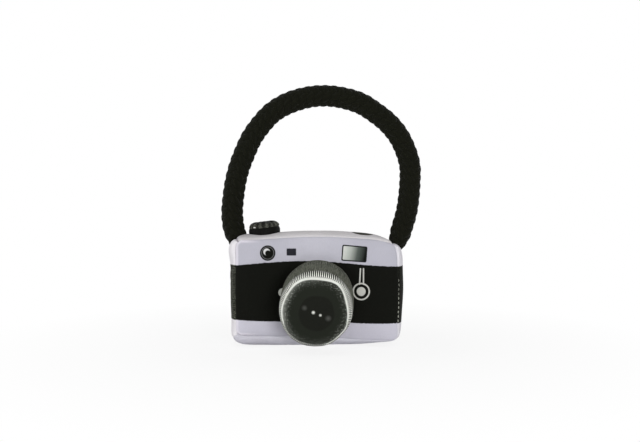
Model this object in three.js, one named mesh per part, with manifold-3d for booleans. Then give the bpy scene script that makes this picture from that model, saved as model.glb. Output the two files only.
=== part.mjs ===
// A stuffed fabric dog toy in the shape of a camera, with a rope handle to carry and tug it by.
// Millimetres, +Z up. The toy stands on its flattened bottom at z = 0, and its lens points along -Y.
import * as THREE from "three";
import { mergeVertices } from "three/addons/utils/BufferGeometryUtils.js";
import Module from "manifold-3d";

const wasm = await Module();
wasm.setup();

// Fabric and running gaps
const FABRIC = 1.6; // thickness of the short-pile cloth
const GAP = 0.3; // space left between pieces that are sewn or seated together

// Camera body, measured along the seam between its face panels and its edge strips
const BODY_WIDTH = 129;
const BODY_HEIGHT = 79;
const BODY_DEPTH = 40;
const CORNER_RADIUS = 8;
const TOP_BOW = 2.5; // how far the middle of an edge bows out past its corners
const SIDE_BOW = 0.6;
const PANEL_CROWN = 5; // how far the stuffing pushes a face panel out
const TOP_SWELL = 3.4; // how far the stuffing pushes an edge strip out
const SIDE_SWELL = 4;
const BOTTOM_SWELL = 8;
const TOP_CORNER_SWELL = 0.8; // how much further the top corners stand out, where the rope is sewn in
const REST_CUT = 0.5; // depth of the flat that the toy's weight presses into its bottom

// Lens
const LENS_X = 0.6;
const LENS_BELOW_MIDDLE = 4.5; // its root sits this far below the middle of the front panel
const LENS_RADIUS = 28;
const LENS_LENGTH = 37.5;
const LENS_SWELL = 0.8;
const LENS_CROWN = 2.4;
const LENS_DROOP = THREE.MathUtils.degToRad(13); // how far it points down
const LENS_YAW = THREE.MathUtils.degToRad(3); // how far it points to the left
const LENS_SEAM = 4; // cloth of the front panel that is turned in under the lens root

// Squeaker, behind the lens
const SQUEAKER_RADIUS = 17;
const SQUEAKER_DEPTH = 16;
const SQUEAKER_WALL = 0.8;
const SQUEAKER_FOLD = 1.6; // depth of the folds in its side
const SQUEAKER_FOLDS = 3;
const REED_TUBE_RADIUS = 3.2;
const REED_TUBE_BORE = 1.9;
const REED_TUBE_LENGTH = 9;
const REED_FLANGE_RADIUS = 5;
const REED_FLANGE = 1;
const REED_WIDTH = 2.4;
const REED_THICKNESS = 0.4;
const REED_LENGTH = 7;

// Shutter knob, a small padded disc sewn on the top strip
const KNOB_FROM_SIDE = 22.5; // from the left seam to the knob's middle
const KNOB_Y = -1;
const KNOB_RADIUS = 12;
const KNOB_HEIGHT = 7.5;
const KNOB_SWELL = 0.9;
const KNOB_CROWN = 2.2;
const KNOB_TILT = THREE.MathUtils.degToRad(-6);

// Rope handle, sewn into the two top corners
const ROPE_DIAMETER = 16.6;
const ROPE_ROOT_ANGLE = THREE.MathUtils.degToRad(39); // from upright, round the corner
const ROPE_ROUTE = [
  [-68.6, 106.5], [-67.6, 120], [-65.7, 132.8], [-62.6, 144.6], [-57.9, 156.7], [-52.5, 168.2],
  [-45.4, 178.3], [-36.6, 187.9], [-26, 194.8], [-14.1, 199.3], [-1.6, 201.9], [11.3, 202.1],
  [24, 200.1], [36.3, 196.1], [47.5, 189.1], [58, 180.8], [66.7, 170.5], [72.8, 158.3],
  [76.4, 145.6], [76.5, 132.3], [75.6, 119.7], [73.6, 107],
];

// Smoothness of the round forms
const LONG_EDGE_STEPS = 8;
const SHORT_EDGE_STEPS = 6;
const HALF_CORNER_STEPS = 3;
const STRIP_STEPS = 8;
const PANEL_RINGS = 5;
const FILLING_STEPS = 4;
const FILLING_RINGS = 3;
const LENS_SIDES = 32;
const KNOB_SIDES = 20;
const SQUEAKER_SIDES = 28;
const REED_TUBE_SIDES = 16;
const PROFILE_STEPS = 4;
const ROPE_SIDES = 12;
const ROPE_STEPS = 36;

// Places that follow from the sizes above
const SEAM_BOTTOM = BOTTOM_SWELL - REST_CUT;
const SEAM_MIDDLE = SEAM_BOTTOM + BODY_HEIGHT / 2;
const LENS_Z = SEAM_MIDDLE - LENS_BELOW_MIDDLE;
const HALF_DEPTH = BODY_DEPTH / 2;
const FILLING_INSET = FABRIC + GAP;
const LENS_HOLE = LENS_RADIUS - FABRIC - LENS_SEAM;
const PANEL_FRONT = -(HALF_DEPTH + PANEL_CROWN);
const KNOB_X = KNOB_FROM_SIDE - BODY_WIDTH / 2;
const SQUEAKER_FRONT = PANEL_FRONT + FILLING_INSET + GAP;
const POCKET_RADIUS = SQUEAKER_RADIUS + GAP;
const POCKET_END = SQUEAKER_FRONT + SQUEAKER_DEPTH + REED_FLANGE + 2 * GAP;

const cloth = (color, roughness) => new THREE.MeshStandardMaterial({ color, roughness, metalness: 0 });
const SILVER_CLOTH = cloth(0xbab7c5, 0.75);
const BLACK_CLOTH = cloth(0x1a1a18, 0.85);
const LENS_CLOTH = cloth(0x2b2d29, 0.8);
const ROPE_YARN = cloth(0x12120f, 0.9);
const WHITE_FILLING = cloth(0xf2f0ea, 0.95);
const SQUEAKER_PLASTIC = cloth(0xe9e9e4, 0.45);
const REED_PLASTIC = cloth(0xd8c9a0, 0.4);

// Solids

// A closed geometry as a solid that can be joined and cut.
function solidOf(geometry) {
  const bare = new THREE.BufferGeometry();
  bare.setAttribute("position", geometry.getAttribute("position").clone());
  if (geometry.index) bare.setIndex(geometry.index.clone());
  const merged = mergeVertices(bare, 1e-4);
  const vertProperties = new Float32Array(merged.getAttribute("position").array);
  const triVerts = new Uint32Array(merged.index.array);
  return new wasm.Manifold(new wasm.Mesh({ numProp: 3, vertProperties, triVerts }));
}

// Such a solid as a geometry with normals.
function geometryOf(solid) {
  const { vertProperties, triVerts, numProp, numVert } = solid.getMesh();
  const positions = new Float32Array(numVert * 3);
  for (let i = 0; i < numVert; i++) {
    positions.set(vertProperties.subarray(i * numProp, i * numProp + 3), i * 3);
  }
  const geometry = new THREE.BufferGeometry();
  geometry.setAttribute("position", new THREE.BufferAttribute(positions, 3));
  geometry.setIndex(new THREE.BufferAttribute(triVerts, 1));
  geometry.computeVertexNormals();
  return geometry;
}

const moved = (geometry, matrix) => geometry.clone().applyMatrix4(matrix);
const trimmed = (geometry, cutter) => geometryOf(solidOf(geometry).subtract(solidOf(cutter)));

// A skin stretched over closed rings of points, all with as many points. Its ends are joined to each other
// (wrap), closed by a fan to their middle (fan), or closed across a flat band of two edges (band).
function stretchSkin(rings, ends) {
  const count = rings[0].length;
  const positions = rings.flat().flatMap((p) => [p.x, p.y, p.z]);
  const faces = [];
  const at = (ring, i) => (ring % rings.length) * count + (i % count);
  const lastRing = ends === "wrap" ? rings.length : rings.length - 1;
  for (let ring = 0; ring < lastRing; ring++) {
    for (let i = 0; i < count; i++) {
      faces.push(at(ring, i), at(ring + 1, i), at(ring + 1, i + 1));
      faces.push(at(ring, i), at(ring + 1, i + 1), at(ring, i + 1));
    }
  }
  const close = (ring, turned) => {
    const face = (a, b, c) => faces.push(...(turned ? [a, c, b] : [a, b, c]));
    if (ends === "fan") {
      const middle = new THREE.Vector3();
      rings[ring].forEach((p) => middle.addScaledVector(p, 1 / count));
      const tip = positions.length / 3;
      positions.push(middle.x, middle.y, middle.z);
      for (let i = 0; i < count; i++) face(tip, at(ring, i), at(ring, i + 1));
    } else {
      for (let i = 0; i < count / 2 - 1; i++) {
        face(at(ring, i), at(ring, i + 1), at(ring, count - 2 - i));
        face(at(ring, i), at(ring, count - 2 - i), at(ring, count - 1 - i));
      }
    }
  };
  if (ends !== "wrap") {
    close(0, false);
    close(rings.length - 1, true);
  }
  const geometry = new THREE.BufferGeometry();
  geometry.setAttribute("position", new THREE.Float32BufferAttribute(positions, 3));
  geometry.setIndex(faces);
  const solid = solidOf(geometry);
  return solid.volume() > 0 ? geometry : flipped(geometry);
}

function flipped(geometry) {
  const index = geometry.index.array;
  for (let i = 0; i < index.length; i += 3) [index[i + 1], index[i + 2]] = [index[i + 2], index[i + 1]];
  return geometry;
}

// A solid of revolution about Y, from a closed profile of [radius, y] points.
function turned(profile, sides) {
  const points = profile.map(([radius, y]) => new THREE.Vector2(Math.max(radius, 0), y));
  points.push(points[0].clone());
  const lathe = new THREE.LatheGeometry(points, sides);
  const solid = solidOf(lathe);
  if (solid.volume() > 0) return lathe;
  points.reverse();
  return new THREE.LatheGeometry(points, sides);
}

const steps = (count, make) => Array.from({ length: count + 1 }, (_, i) => make(i / count));

// The body's outline along its seams: from the top left corner clockwise, seen from the front

const EDGES = [
  { name: "top", out: [0, 1], bow: TOP_BOW },
  { name: "right", out: [1, 0], bow: SIDE_BOW },
  { name: "bottom", out: [0, -1], bow: 0 },
  { name: "left", out: [-1, 0], bow: SIDE_BOW },
];

// How far an edge bows at s, from -1 where it leaves one corner to 1 where it meets the next.
const bowAt = (bow, s) => bow * (1 - s * s) ** 2;

// How far a strip swells where the outline faces this way.
function swellFacing(nx, nz) {
  const upright = nz > 0 ? TOP_SWELL : BOTTOM_SWELL;
  const corner = nz > 0 ? TOP_CORNER_SWELL * (2 * nx * nz) ** 2 : 0;
  return SIDE_SWELL * nx * nx + upright * nz * nz + corner;
}

// The points of one edge, from the middle of one corner to the middle of the next.
function edgePoints({ out, bow }) {
  const along = [out[1], -out[0]];
  const count = out[0] ? SHORT_EDGE_STEPS : LONG_EDGE_STEPS;
  const halfRun = (out[0] ? BODY_HEIGHT : BODY_WIDTH) / 2 - CORNER_RADIUS;
  const reach = (out[0] ? BODY_WIDTH : BODY_HEIGHT) / 2;
  const point = (run, rise, normal) => {
    const x = along[0] * run + out[0] * rise;
    const z = SEAM_MIDDLE + along[1] * run + out[1] * rise;
    const nx = along[0] * normal[0] + out[0] * normal[1];
    const nz = along[1] * normal[0] + out[1] * normal[1];
    return { x, z, nx, nz, swell: swellFacing(nx, nz) };
  };
  const corner = (end) => steps(HALF_CORNER_STEPS, (t) => {
    const angle = end * (end < 0 ? 1 - t : t) * (Math.PI / 4);
    const normal = [Math.sin(angle), Math.cos(angle)];
    const run = end * halfRun + CORNER_RADIUS * normal[0];
    return point(run, reach - CORNER_RADIUS * (1 - normal[1]), normal);
  });
  const straight = steps(count, (t) => {
    const s = 2 * t - 1;
    return point(s * halfRun, reach + bowAt(bow, s), [0, 1]);
  });
  return [...corner(-1).slice(0, -1), ...straight, ...corner(1).slice(1)];
}

const edges = EDGES.map(edgePoints);
const outline = edges.flatMap((points) => points.slice(0, -1));

// How far the stuffing swells an edge strip at v, from -1 at the front seam to 1 at the back seam.
const swellAt = (v) => (1 - v ** 4) ** 0.6;
// How far it crowns a face panel, from 0 at the middle to 1 at the seam.
const crownAt = (share) => PANEL_CROWN * (1 - Math.min(share, 1) ** 3) ** 0.7;

// A point of an edge strip's surface, inset below its outside.
const stripPoint = (edge, y, v, inset) => {
  const off = edge.swell * swellAt(v) - inset;
  return new THREE.Vector3(edge.x + edge.nx * off, y, edge.z + edge.nz * off);
};

// A point of a face panel's surface, at a share of the way from the lens root to an inset seam.
const panelPoint = (edge, share, facing, inset) => {
  const x = THREE.MathUtils.lerp(LENS_X, edge.x - edge.nx * inset, share);
  const z = THREE.MathUtils.lerp(LENS_Z, edge.z - edge.nz * inset, share);
  return new THREE.Vector3(x, facing * (HALF_DEPTH - inset + crownAt(share)), z);
};

// The whole stuffed body as one solid, its surface inset below the cloth's outside.
function stuffedBody(inset, stripSteps, rings) {
  const halfDepth = HALF_DEPTH - inset;
  const shares = steps(rings, (t) => Math.sin((t * Math.PI) / 2)).slice(1, -1);
  const side = (facing) => shares.map((s) => outline.map((edge) => panelPoint(edge, s, facing, inset)));
  const round = steps(stripSteps, (t) => {
    const v = -Math.cos(t * Math.PI);
    return outline.map((edge) => stripPoint(edge, v * halfDepth, v, inset));
  });
  return stretchSkin([...side(-1), ...round, ...side(1).reverse()], "fan");
}

// Fabric of the body

// A face panel: a crowned sheet with its rim at the seam, and a round hole where the lens is sewn on.
function facePanel(facing, hole) {
  const ringAt = (t, inset) => outline.map((edge) => {
    const reach = Math.hypot(edge.x - LENS_X, edge.z - LENS_Z);
    const share = THREE.MathUtils.lerp(hole / reach, 1, Math.sin((t * Math.PI) / 2));
    const point = panelPoint(edge, share, facing, 0);
    point.y -= facing * inset;
    return point;
  });
  const outside = steps(PANEL_RINGS, (t) => ringAt(t, 0));
  const inside = steps(PANEL_RINGS, (t) => ringAt(1 - t, FABRIC));
  return hole > 0
    ? stretchSkin([...outside, ...inside], "wrap")
    : stretchSkin([...outside.slice(1), ...inside.slice(0, -1)], "fan");
}

// An edge strip: a swollen band of cloth between the two face panels, its ends at the corner seams.
function edgeStrip(points) {
  const halfDepth = HALF_DEPTH - FABRIC - GAP;
  const across = (edge, inset, end) => steps(STRIP_STEPS, (t) => {
    const v = -Math.cos(t * Math.PI);
    const point = stripPoint(edge, v * halfDepth, v, inset);
    point.x += end * edge.nz * (GAP / 2);
    point.z -= end * edge.nx * (GAP / 2);
    return point;
  });
  const bands = points.map((edge, i) => {
    const end = i === 0 ? 1 : i === points.length - 1 ? -1 : 0;
    return [...across(edge, 0, end), ...across(edge, FABRIC, end).reverse()];
  });
  return stretchSkin(bands, "band");
}

// The bottom strip, pressed flat where the toy stands.
function restingStrip(points) {
  const size = 2 * (BODY_WIDTH + BODY_DEPTH);
  const floor = new THREE.BoxGeometry(size, size, size);
  floor.translate(0, 0, -size / 2);
  return trimmed(edgeStrip(points), floor);
}

const bodyClearance = stuffedBody(-GAP, STRIP_STEPS, PANEL_RINGS);

// The filling, with a pocket for the squeaker that opens towards the lens.
function bodyFilling() {
  const depth = POCKET_END - PANEL_FRONT;
  const pocket = new THREE.CylinderGeometry(POCKET_RADIUS, POCKET_RADIUS, depth, SQUEAKER_SIDES);
  pocket.translate(LENS_X, PANEL_FRONT + depth / 2, LENS_Z);
  return trimmed(stuffedBody(FILLING_INSET, FILLING_STEPS, FILLING_RINGS), pocket);
}

// Padded drums: the lens and the shutter knob are each a band, a crowned end and filling

// How a drum's radius swells along its height, from 0 at the root to 1 at its end.
const drumSwell = (radius, swell, t) => radius + swell * 4 * t * (1 - t);

// The band: a tube of cloth that starts below the root, so that it can be trimmed to what carries it.
function drumBand({ radius, height, swell, below, sides }) {
  const top = height - FABRIC - GAP;
  const wall = (inset) => steps(PROFILE_STEPS, (t) => {
    const y = THREE.MathUtils.lerp(-below, top, t);
    return [drumSwell(radius, swell, Math.max(0, y / height)) - inset, y];
  });
  return turned([...wall(0), ...wall(FABRIC).reverse()], sides);
}

// The end: a crowned disc of cloth whose rim covers the band's edge.
function drumEnd({ radius, height, crown, sides }) {
  const sheet = (inset) => steps(PROFILE_STEPS, (t) => {
    const share = Math.sin((t * Math.PI) / 2);
    return [radius * share, height - inset + crown * (1 - share ** 2.4)];
  });
  return turned([...sheet(0), ...sheet(FABRIC).reverse()], sides);
}

// The filling: fills the band and the end.
function drumFilling({ radius, height, swell, crown, below, sides }) {
  const reach = radius - FILLING_INSET;
  const top = height - FILLING_INSET;
  const wall = steps(2, (t) => [drumSwell(reach, swell, t * top / height), t * top]);
  const end = steps(PROFILE_STEPS, (t) => {
    const share = Math.cos((t * Math.PI) / 2);
    return [reach * share, top + crown * (1 - share ** 2.4)];
  });
  return turned([[0, -below], [reach, -below], ...wall, ...end.slice(1)], sides);
}

const camera = new THREE.Group();

function addMesh(parent, name, geometry, material) {
  const mesh = new THREE.Mesh(geometry, material);
  mesh.name = name;
  parent.add(mesh);
  return mesh;
}

// A group for a drum whose own +Y runs out of the body.
function drumGroup(position, rotation) {
  const group = new THREE.Group();
  group.position.copy(position);
  group.setRotationFromMatrix(rotation);
  camera.add(group);
  group.updateMatrixWorld(true);
  return group;
}

// Body
addMesh(camera, "front_panel", facePanel(-1, LENS_HOLE), SILVER_CLOTH);
addMesh(camera, "back_panel", facePanel(1, 0), SILVER_CLOTH);
EDGES.forEach(({ name }, i) => {
  const strip = name === "bottom" ? restingStrip(edges[i]) : edgeStrip(edges[i]);
  addMesh(camera, `${name}_gusset`, strip, SILVER_CLOTH);
});
addMesh(camera, "body_stuffing", bodyFilling(), WHITE_FILLING);

// Lens
const lensRoot = new THREE.Vector3(LENS_X, PANEL_FRONT, LENS_Z);
const lensTurn = new THREE.Matrix4().makeRotationZ(-LENS_YAW);
lensTurn.multiply(new THREE.Matrix4().makeRotationX(Math.PI + LENS_DROOP));
const lens = drumGroup(lensRoot, lensTurn);
const lensSize = {
  radius: LENS_RADIUS,
  height: LENS_LENGTH,
  swell: LENS_SWELL,
  crown: LENS_CROWN,
  below: PANEL_CROWN + LENS_RADIUS * (Math.sin(LENS_DROOP) + Math.sin(LENS_YAW)),
  sides: LENS_SIDES,
};
const intoLens = lens.matrixWorld.clone().invert();
const lensTrim = moved(bodyClearance, intoLens);

// The lens filling reaches through the hole in the front panel to the squeaker.
function lensFilling() {
  const radius = Math.min(LENS_HOLE, SQUEAKER_RADIUS) - GAP;
  const back = SQUEAKER_FRONT - GAP;
  const front = PANEL_FRONT - 2 * GAP - LENS_RADIUS * (Math.sin(LENS_DROOP) + Math.sin(LENS_YAW));
  const plug = new THREE.CylinderGeometry(radius, radius, back - front, SQUEAKER_SIDES);
  plug.translate(LENS_X, (front + back) / 2, LENS_Z);
  const core = solidOf(drumFilling(lensSize)).subtract(solidOf(lensTrim));
  return geometryOf(core.add(solidOf(moved(plug, intoLens))));
}

addMesh(lens, "lens_barrel", trimmed(drumBand(lensSize), lensTrim), LENS_CLOTH);
addMesh(lens, "lens_face", drumEnd(lensSize), LENS_CLOTH);
addMesh(lens, "lens_stuffing", lensFilling(), WHITE_FILLING);

// Squeaker: a folded bulb of thin plastic with a reed tube in its back
const squeaker = new THREE.Group();
squeaker.position.set(LENS_X, SQUEAKER_FRONT, LENS_Z);
camera.add(squeaker);

function squeakerBellows() {
  const mouth = REED_TUBE_RADIUS + GAP;
  const folds = 2 * SQUEAKER_FOLDS;
  const side = (inset) => steps(folds, (t) => {
    const fold = Math.round(t * folds) % 2 ? SQUEAKER_FOLD : 0;
    return [SQUEAKER_RADIUS - fold - inset, THREE.MathUtils.lerp(inset, SQUEAKER_DEPTH - inset, t)];
  });
  const outside = [[0, 0], ...side(0), [mouth, SQUEAKER_DEPTH]];
  const lip = [mouth, SQUEAKER_DEPTH - SQUEAKER_WALL];
  const inside = [lip, ...side(SQUEAKER_WALL).reverse(), [0, SQUEAKER_WALL]];
  return turned([...outside, ...inside], SQUEAKER_SIDES);
}

function reedTube() {
  const flangeFront = SQUEAKER_DEPTH + GAP;
  const back = flangeFront + REED_FLANGE;
  return turned([
    [REED_TUBE_BORE, back - REED_TUBE_LENGTH],
    [REED_TUBE_RADIUS, back - REED_TUBE_LENGTH],
    [REED_TUBE_RADIUS, flangeFront],
    [REED_FLANGE_RADIUS, flangeFront],
    [REED_FLANGE_RADIUS, back],
    [REED_TUBE_BORE, back],
  ], REED_TUBE_SIDES);
}

addMesh(squeaker, "squeaker_bellows", squeakerBellows(), SQUEAKER_PLASTIC);
addMesh(squeaker, "squeaker_reed_tube", reedTube(), SQUEAKER_PLASTIC);
const reed = new THREE.BoxGeometry(REED_WIDTH, REED_LENGTH, REED_THICKNESS);
const reedMesh = addMesh(squeaker, "squeaker_reed", reed, REED_PLASTIC);
reedMesh.position.y = SQUEAKER_DEPTH + GAP + REED_FLANGE - REED_TUBE_LENGTH / 2;

// Shutter knob
function knobSeat() {
  const s = KNOB_X / (BODY_WIDTH / 2 - CORNER_RADIUS);
  const rise = bowAt(TOP_BOW, s) + TOP_SWELL * swellAt(KNOB_Y / HALF_DEPTH);
  return SEAM_MIDDLE + BODY_HEIGHT / 2 + rise;
}

const knobTurn = new THREE.Matrix4().makeRotationY(KNOB_TILT);
knobTurn.multiply(new THREE.Matrix4().makeRotationX(Math.PI / 2));
const knob = drumGroup(new THREE.Vector3(KNOB_X, KNOB_Y, knobSeat()), knobTurn);
const knobSize = {
  radius: KNOB_RADIUS,
  height: KNOB_HEIGHT,
  swell: KNOB_SWELL,
  crown: KNOB_CROWN,
  below: TOP_BOW + TOP_SWELL,
  sides: KNOB_SIDES,
};
const knobTrim = moved(bodyClearance, knob.matrixWorld.clone().invert());
addMesh(knob, "knob_band", trimmed(drumBand(knobSize), knobTrim), BLACK_CLOTH);
addMesh(knob, "knob_top", drumEnd(knobSize), BLACK_CLOTH);
addMesh(knob, "knob_stuffing", trimmed(drumFilling(knobSize), knobTrim), WHITE_FILLING);

// Rope handle: an arch whose rounded ends sit in the corner seams, where it bends over to the front or back
function ropeHandle() {
  const radius = ROPE_DIAMETER / 2;
  const across = Math.sin(ROPE_ROOT_ANGLE);
  const up = Math.cos(ROPE_ROOT_ANGLE);
  const reach = CORNER_RADIUS + swellFacing(across, up) + radius + GAP;
  const rootX = BODY_WIDTH / 2 - CORNER_RADIUS + reach * across;
  const rootZ = SEAM_MIDDLE + BODY_HEIGHT / 2 - CORNER_RADIUS + reach * up;
  const route = [[-rootX, rootZ], ...ROPE_ROUTE, [rootX, rootZ]].map(([x, z]) => new THREE.Vector3(x, 0, z));
  const section = new THREE.Shape().absarc(0, 0, radius, 0, 2 * Math.PI);
  const extrudePath = new THREE.CatmullRomCurve3(route, false, "centripetal");
  const arch = new THREE.ExtrudeGeometry(section, {
    steps: ROPE_STEPS,
    curveSegments: ROPE_SIDES / 2,
    extrudePath,
  });
  const end = (point) => {
    const ball = new THREE.SphereGeometry(radius, ROPE_SIDES, ROPE_SIDES);
    return solidOf(ball.translate(point.x, point.y, point.z));
  };
  return geometryOf(solidOf(arch).add(end(route[0])).add(end(route.at(-1))));
}

addMesh(camera, "rope_handle", ropeHandle(), ROPE_YARN);

export default camera;
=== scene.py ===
"""Looks of a stuffed cloth camera for dogs: printed short-pile covers, a padded lens and shutter knob, and
a braided rope handle. Forms are worked out in millimetres, and become metres where a piece is made."""
import math

import bpy
import numpy as np
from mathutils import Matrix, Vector, noise


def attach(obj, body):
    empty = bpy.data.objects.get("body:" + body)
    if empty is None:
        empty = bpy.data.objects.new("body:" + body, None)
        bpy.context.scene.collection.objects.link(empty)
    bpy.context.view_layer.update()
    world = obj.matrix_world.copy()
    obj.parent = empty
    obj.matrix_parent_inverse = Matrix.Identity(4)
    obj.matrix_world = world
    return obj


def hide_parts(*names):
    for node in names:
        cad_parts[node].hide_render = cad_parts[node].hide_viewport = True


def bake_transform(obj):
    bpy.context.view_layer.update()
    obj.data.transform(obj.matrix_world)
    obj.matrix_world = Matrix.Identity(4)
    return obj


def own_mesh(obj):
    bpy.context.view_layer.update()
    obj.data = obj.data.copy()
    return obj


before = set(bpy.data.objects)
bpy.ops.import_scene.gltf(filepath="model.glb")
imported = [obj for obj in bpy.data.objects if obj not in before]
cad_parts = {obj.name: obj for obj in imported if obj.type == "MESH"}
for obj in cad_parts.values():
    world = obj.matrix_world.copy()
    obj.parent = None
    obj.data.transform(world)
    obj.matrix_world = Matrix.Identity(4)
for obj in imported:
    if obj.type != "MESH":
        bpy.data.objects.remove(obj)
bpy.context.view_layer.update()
scene = bpy.context.scene
MM = 0.001


def unit(v):
    return np.asarray(v, float) / np.linalg.norm(v, axis=-1, keepdims=True)


def added(name, data):
    made = bpy.data.objects.new(name, data)
    scene.collection.objects.link(made)
    return made


def mesh_of(name, points, faces, scale=MM):
    mesh = bpy.data.meshes.new(name)
    mesh.from_pydata((np.asarray(points) * scale).tolist(), [], [list(map(int, f)) for f in faces])
    return mesh


# Camera

VIEW_TARGET = np.array([3.0, 0.0, 100.4])
VIEW_DISTANCE = 700
VIEW_TURN = math.radians(-1)
VIEW_RISE = math.radians(1.5)
VIEW_FOCAL, VIEW_SENSOR = 48.2, 36


def place_camera():
    away = Vector((math.sin(VIEW_TURN) * math.cos(VIEW_RISE),
                   -math.cos(VIEW_TURN) * math.cos(VIEW_RISE), math.sin(VIEW_RISE)))
    data = bpy.data.cameras.new("view")
    data.lens = VIEW_FOCAL
    data.sensor_width = VIEW_SENSOR
    data.clip_start, data.clip_end = 0.01, 20
    camera = added("view", data)
    camera.location = Vector(VIEW_TARGET * MM) + away * (VIEW_DISTANCE * MM)
    camera.rotation_euler = (-away).to_track_quat("-Z", "Y").to_euler()
    scene.camera = camera


place_camera()
scene.view_settings.view_transform = "Standard"


# Dyes: materials whose patterns are worked out from the place on the cut cloth

CUT_SPAN = 400.0  # millimetres of cloth that the cut map covers


def tone(r, g, b):
    """A colour read off a screen, as the amounts of light that the shader takes."""
    shares = [c / 255 for c in (r, g, b)]
    light = [c / 12.92 if c < 0.04045 else ((c + 0.055) / 1.055) ** 2.4 for c in shares]
    return (*light, 1)


def operator(operation, swapped=False):
    def work(self, *others):
        values = (*others, self) if swapped else (self, *others)
        return self.dye.node("Math", {"operation": operation}, dict(enumerate(values)))
    return work


class Wire:
    """A value in a dye. Sums on wires add the nodes that work them out."""

    def __init__(self, dye, socket):
        self.dye = dye
        self.socket = socket

    __add__, __radd__ = operator("ADD"), operator("ADD", True)
    __sub__, __rsub__ = operator("SUBTRACT"), operator("SUBTRACT", True)
    __mul__, __rmul__ = operator("MULTIPLY"), operator("MULTIPLY", True)
    __truediv__, __pow__ = operator("DIVIDE"), operator("POWER")
    __and__, __or__ = operator("MINIMUM"), operator("MAXIMUM")
    __abs__, sine, angle = operator("ABSOLUTE"), operator("SINE"), operator("ARCTAN2")

    def kept(self):
        """Held between 0 and 1."""
        return self.dye.node("Clamp", {}, {"Value": self})


class Dye:
    """One cloth's or plastic's finish."""

    def __init__(self, name, colour=None):
        self.colour = colour
        self.material = bpy.data.materials.new(name)
        self.material.use_nodes = True
        self.tree = self.material.node_tree
        self.shader = self.tree.nodes["Principled BSDF"]

    def node(self, kind, settings, sockets, out=0):
        made = self.tree.nodes.new("ShaderNode" + kind)
        for name, value in settings.items():
            setattr(made, name, value)
        for name, value in sockets.items():
            self.feed(made.inputs[name], value)
        return Wire(self, made.outputs[out])

    def feed(self, socket, value):
        if isinstance(value, Wire):
            self.tree.links.new(value.socket, socket)
        else:
            socket.default_value = value

    def finish(self, **sockets):
        for name, value in sockets.items():
            self.feed(self.shader.inputs[name.replace("_", " ").title().replace("Ior", "IOR")], value)
        return self.material

    def cut(self):
        """Place on the cut cloth, in millimetres: across, along, and both as a vector."""
        place = self.node("UVMap", {"uv_map": "cut"}, {})
        centred = self.node("VectorMath", {"operation": "SUBTRACT"}, {0: place, 1: (0.5, 0.5, 0)})
        millimetres = self.node("VectorMath", {"operation": "SCALE"}, {0: centred, "Scale": CUT_SPAN})
        across = self.node("SeparateXYZ", {}, {0: millimetres}, 0)
        along = Wire(self, across.socket.node.outputs[1])
        return across, along, millimetres

    def stretched(self, place, across, along):
        return self.node("VectorMath", {"operation": "MULTIPLY"}, {0: place, 1: (across, along, 1)})

    def cloud(self, place, scale, detail=2, roughness=0.5):
        """Soft random patches from 0 to 1, so many to the millimetre."""
        sockets = {"Vector": place, "Scale": scale, "Detail": detail, "Roughness": roughness}
        return self.node("TexNoise", {"noise_dimensions": "2D"}, sockets)

    def paint(self, mask, below, above):
        return self.node("Mix", {"data_type": "RGBA"}, {0: mask, 6: below, 7: above}, 2)

    def layer(self, mask, colour):
        """Print a colour over what is there."""
        self.colour = self.paint(mask, self.colour, colour)

    def shade(self, colour, amount):
        """A colour made lighter or darker by a wire round 1."""
        level = self.node("CombineColor", {}, {0: amount, 1: amount, 2: amount})
        mixed = {"data_type": "RGBA", "blend_type": "MULTIPLY"}
        return self.node("Mix", mixed, {0: 1.0, 6: colour, 7: level}, 2)

    def bump(self, height, strength, distance):
        return self.node("Bump", {}, {"Height": height, "Strength": strength, "Distance": distance * MM})


def within(distance, soft):
    """A mask that is 1 where a distance is below 0, with a soft edge this wide."""
    return (0.5 - distance / soft).kept()


def length_of(x, y):
    return (x * x + y * y) ** 0.5


def off_disc(x, y, middle, radius):
    return length_of(x - middle[0], y - middle[1]) - radius


def off_window(x, y, middle, half, corner, turn=0.0):
    """Distance from a rounded rectangle."""
    c, s = math.cos(turn), math.sin(turn)
    dx, dy = x - middle[0], y - middle[1]
    a = abs(dx * c + dy * s) - (half[0] - corner)
    b = abs(dy * c - dx * s) - (half[1] - corner)
    return length_of(a | 0.0, b | 0.0) - corner


def off_line(x, y, start, end, width):
    """Distance from a line with round ends."""
    ex, ey = end[0] - start[0], end[1] - start[1]
    dx, dy = x - start[0], y - start[1]
    t = ((dx * ex + dy * ey) / (ex * ex + ey * ey)).kept()
    return length_of(dx - t * ex, dy - t * ey) - width / 2


# Pieces

def piece(name, points, faces, dye, cut, corner_cut=None):
    """A mesh piece from points in millimetres. The cut place goes in by point, or by face corner."""
    mesh = mesh_of(name, points, faces)
    layer = mesh.uv_layers.new(name="cut")
    if corner_cut is None:
        loops = np.zeros(len(mesh.loops), int)
        mesh.loops.foreach_get("vertex_index", loops)
        corner_cut = np.asarray(cut)[loops]
    layer.uv.foreach_set("vector", (np.asarray(corner_cut).reshape(-1, 2) / CUT_SPAN + 0.5).ravel())
    mesh.materials.append(dye)
    mesh.shade_smooth()
    return added(name, mesh)


def smoothed(made):
    """The piece with its mesh made finer and rounder."""
    rounding = made.modifiers.new("rounding", "SUBSURF")
    rounding.levels = 1
    bpy.context.view_layer.update()
    shown = made.evaluated_get(bpy.context.evaluated_depsgraph_get())
    mesh = bpy.data.meshes.new_from_object(shown)
    made.modifiers.clear()
    old = made.data
    made.data = mesh
    mesh.name = made.name
    bpy.data.meshes.remove(old)
    return made


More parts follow.
